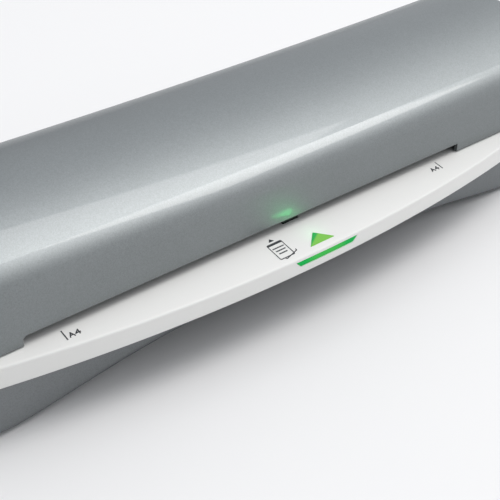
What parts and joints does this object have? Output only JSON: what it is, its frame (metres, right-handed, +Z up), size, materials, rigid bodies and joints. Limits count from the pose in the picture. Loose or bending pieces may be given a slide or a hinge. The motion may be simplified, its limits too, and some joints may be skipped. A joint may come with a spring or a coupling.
{
  "type": "pouch laminator",
  "caption": "Desktop pouch laminator: barrel-shaped cover, bowed entry tray with lit start button, arched housing, heated roller pair driven by a gear motor.",
  "frame": {"origin": "centre of the footprint on the table", "axes": "+X along the machine to the user's right, +Y from the entry tray to the exit, +Z up"},
  "size_m": [0.372, 0.135, 0.0923],
  "materials": {
    "silver_lacquer": "metallic silver lacquer on moulded plastic",
    "grey_lacquer": "metallic dark grey lacquer on moulded plastic",
    "white_plastic": "satin white",
    "dark_plastic": "fine matt texture",
    "natural_plastic": "natural acetal",
    "lit_green": "translucent, lit from behind",
    "board": "solder mask",
    "silicone": "ground silicone",
    "steel": "ground",
    "zinc_steel": "zinc plated",
    "aluminium": "as extruded",
    "brass": "bright",
    "mica": "layered mica",
    "rubber": "matt"
  },
  "bodies": {
    "chassis": {"upper_cover": "silver_lacquer", "lower_housing": "grey_lacquer", "entry_tray": "white_plastic", "tray_base": "dark_plastic", "button_switch": "dark_plastic", "entry_guide_lower": "dark_plastic", "entry_guide_upper": "dark_plastic", "exit_guide_lower": "dark_plastic", "exit_guide_upper": "dark_plastic", "thermostat": "dark_plastic", "mains_inlet": "dark_plastic", "indicator_led": "natural_plastic", "lower_left_bushing": "natural_plastic", "lower_right_bushing": "natural_plastic", "upper_left_bearing": "natural_plastic", "upper_right_bearing": "natural_plastic", "indicator_lens": "lit_green", "control_board": "board", "front_tie_bar": "steel", "rear_tie_bar": "steel", "left_pressure_spring": "steel", "right_pressure_spring": "steel", "gear_motor": "steel", "left_side_plate": "zinc_steel", "right_side_plate": "zinc_steel", "motor_bracket": "zinc_steel", "thermal_fuse": "zinc_steel", "tray_screw_1": "zinc_steel", "tray_screw_2": "zinc_steel", "motor_screw_1": "zinc_steel", "motor_screw_2": "zinc_steel", "frame_screw_1": "zinc_steel", "frame_screw_2": "zinc_steel", "frame_screw_3": "zinc_steel", "frame_screw_4": "zinc_steel", "case_screw_1": "zinc_steel", "case_screw_2": "zinc_steel", "case_screw_3": "zinc_steel", "case_screw_4": "zinc_steel", "upper_heat_shell": "aluminium", "lower_heat_shell": "aluminium", "inlet_pin_1": "brass", "inlet_pin_2": "brass", "upper_heater": "mica", "lower_heater": "mica", "rubber_foot_1": "rubber", "rubber_foot_2": "rubber", "rubber_foot_3": "rubber", "rubber_foot_4": "rubber"},
    "button": {"power_button": "lit_green"},
    "sensor": {"pouch_sensor_lever": "dark_plastic"},
    "lower_roller": {"lower_roller_shaft": "steel", "lower_roller_sleeve": "silicone", "lower_roller_gear": "natural_plastic"},
    "upper_roller": {"upper_roller_shaft": "steel", "upper_roller_sleeve": "silicone", "upper_roller_gear": "natural_plastic"},
    "drive": {"motor_shaft": "steel", "motor_pinion": "natural_plastic"}
  },
  "joints": [
    {"name": "button_press", "type": "slide", "parent": "chassis", "child": "button", "axis": [0, 1, 0], "range_m": [0, 0.0008], "stiffness_N_per_m": 1500},
    {"name": "sensor_swing", "type": "hinge", "parent": "chassis", "child": "sensor", "pos_m": [-0.00275, -0.0429, 0.0365], "axis": [-1, 0, 0], "range_deg": [0, 52], "stiffness_Nm_per_rad": 0.002, "springref_deg": -5.73},
    {"name": "lower_roller_spin", "type": "hinge", "parent": "chassis", "child": "lower_roller", "pos_m": [0, 0.01, 0.03285], "axis": [1, 0, 0], "continuous": true},
    {"name": "upper_roller_spin", "type": "hinge", "parent": "chassis", "child": "upper_roller", "pos_m": [0, 0.01, 0.05515], "axis": [1, 0, 0], "continuous": true},
    {"name": "drive_spin", "type": "hinge", "parent": "chassis", "child": "drive", "pos_m": [0, 0.02825, 0.03285], "axis": [1, 0, 0], "continuous": true}
  ],
  "couplings": [
    {"joint": "upper_roller_spin", "follows": "lower_roller_spin", "ratio": -1},
    {"joint": "drive_spin", "follows": "lower_roller_spin", "ratio": -1.5714}
  ]
}
